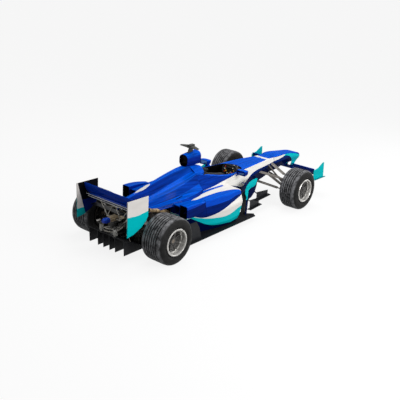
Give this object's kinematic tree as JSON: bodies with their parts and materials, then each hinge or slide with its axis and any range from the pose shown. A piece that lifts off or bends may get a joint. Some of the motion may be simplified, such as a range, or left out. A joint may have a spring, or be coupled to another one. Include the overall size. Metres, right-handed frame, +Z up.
{
  "type": "open wheel racing car",
  "caption": "Single-seat open wheel racing car with wings, steered front wheels and four free-rolling wheels.",
  "frame": {"origin": "on the ground under the middle of the overall length, on the centre line", "axes": "+X forwards, +Y to the driver's left, +Z up"},
  "size_m": [4.73, 1.795, 1.257],
  "materials": {
    "blue_paint": "bright blue gloss over carbon composite",
    "navy_paint": "navy gloss over carbon composite",
    "turquoise_paint": "turquoise gloss",
    "white_paint": "off-white gloss",
    "carbon": "bare carbon composite",
    "dark_plastic": "dark moulded plastic",
    "padding": "dark padding",
    "plank_wood": "laminated wood composite",
    "cast_metal": "cast alloy",
    "steel": "bare steel",
    "tan_composite": "uncoloured heat-shielded composite",
    "wheel_metal": "machined magnesium alloy",
    "brake": "carbon brake disc",
    "tyre": "black rubber"
  },
  "bodies": {
    "chassis": {"monocoque": "blue_paint", "nose_cone": "blue_paint", "engine_cover": "blue_paint", "airbox_pod": "blue_paint", "sidepod_left": "blue_paint", "sidepod_right": "blue_paint", "onboard_camera": "dark_plastic", "seat": "carbon", "headrest": "padding", "mirrors": "blue_paint", "front_wing_plane": "navy_paint", "front_wing_flaps": "navy_paint", "front_wing_end_plates": "turquoise_paint", "floor": "carbon", "plank": "plank_wood", "diffuser": "carbon", "bargeboards": "turquoise_paint", "turning_vanes": "carbon", "tyre_fences": "carbon", "engine_block": "cast_metal", "gearbox": "cast_metal", "rear_crash_structure": "tan_composite", "exhausts": "steel", "radiators": "cast_metal", "rear_wing_end_plates": "white_paint", "rear_wing_main": "navy_paint", "rear_wing_flap": "blue_paint", "rear_wing_beam": "navy_paint", "front_upper_wishbones": "carbon", "front_lower_wishbones": "carbon", "front_pushrods": "carbon", "rear_upper_wishbones": "carbon", "rear_lower_wishbones": "carbon", "rear_pushrods": "carbon", "rear_uprights": "cast_metal"},
    "knuckle_left": {"front_upright_left": "cast_metal"},
    "knuckle_right": {"front_upright_right": "cast_metal"},
    "wheel_front_left": {"front_tyre_left": "tyre", "front_rim_left": "wheel_metal", "front_brake_disc_left": "brake"},
    "wheel_front_right": {"front_tyre_right": "tyre", "front_rim_right": "wheel_metal", "front_brake_disc_right": "brake"},
    "wheel_rear_left": {"rear_tyre_left": "tyre", "rear_rim_left": "wheel_metal", "rear_brake_disc_left": "brake", "driveshaft_left": "steel"},
    "wheel_rear_right": {"rear_tyre_right": "tyre", "rear_rim_right": "wheel_metal", "rear_brake_disc_right": "brake", "driveshaft_right": "steel"},
    "steering": {"steering_wheel": "carbon"},
    "rod_left": {"track_rod_left": "carbon"},
    "rod_right": {"track_rod_right": "carbon"}
  },
  "joints": [
    {"name": "steer_right", "type": "hinge", "parent": "chassis", "child": "knuckle_right", "pos_m": [1.265, -0.631, 0.33], "axis": [0, 0, 1], "range_deg": [-18, 18]},
    {"name": "steer_left", "type": "hinge", "parent": "chassis", "child": "knuckle_left", "pos_m": [1.265, 0.631, 0.33], "axis": [0, 0, 1], "range_deg": [-18, 18]},
    {"name": "steering_wheel_turn", "type": "hinge", "parent": "chassis", "child": "steering", "pos_m": [0.345, 0, 0.655], "axis": [0.9781, 0, -0.2079], "range_deg": [-180, 180]},
    {"name": "rod_left_pivot", "type": "hinge", "parent": "knuckle_left", "child": "rod_left", "pos_m": [1.357, 0.619, 0.306], "axis": [0, 0, 1], "range_deg": [-18, 18]},
    {"name": "rod_right_pivot", "type": "hinge", "parent": "knuckle_right", "child": "rod_right", "pos_m": [1.357, -0.619, 0.306], "axis": [0, 0, 1], "range_deg": [-18, 18]},
    {"name": "roll_front_left", "type": "hinge", "parent": "knuckle_left", "child": "wheel_front_left", "pos_m": [1.265, 0.735, 0.33], "axis": [0, 1, 0], "continuous": true},
    {"name": "roll_front_right", "type": "hinge", "parent": "knuckle_right", "child": "wheel_front_right", "pos_m": [1.265, -0.735, 0.33], "axis": [0, 1, 0], "continuous": true},
    {"name": "roll_rear_left", "type": "hinge", "parent": "chassis", "child": "wheel_rear_left", "pos_m": [-1.835, 0.705, 0.33], "axis": [0, 1, 0], "continuous": true},
    {"name": "roll_rear_right", "type": "hinge", "parent": "chassis", "child": "wheel_rear_right", "pos_m": [-1.835, -0.705, 0.33], "axis": [0, 1, 0], "continuous": true}
  ],
  "couplings": [
    {"joint": "steer_left", "follows": "steer_right", "ratio": 1},
    {"joint": "steering_wheel_turn", "follows": "steer_right", "ratio": -10},
    {"joint": "rod_left_pivot", "follows": "steer_right", "ratio": -1},
    {"joint": "rod_right_pivot", "follows": "steer_right", "ratio": -1}
  ]
}
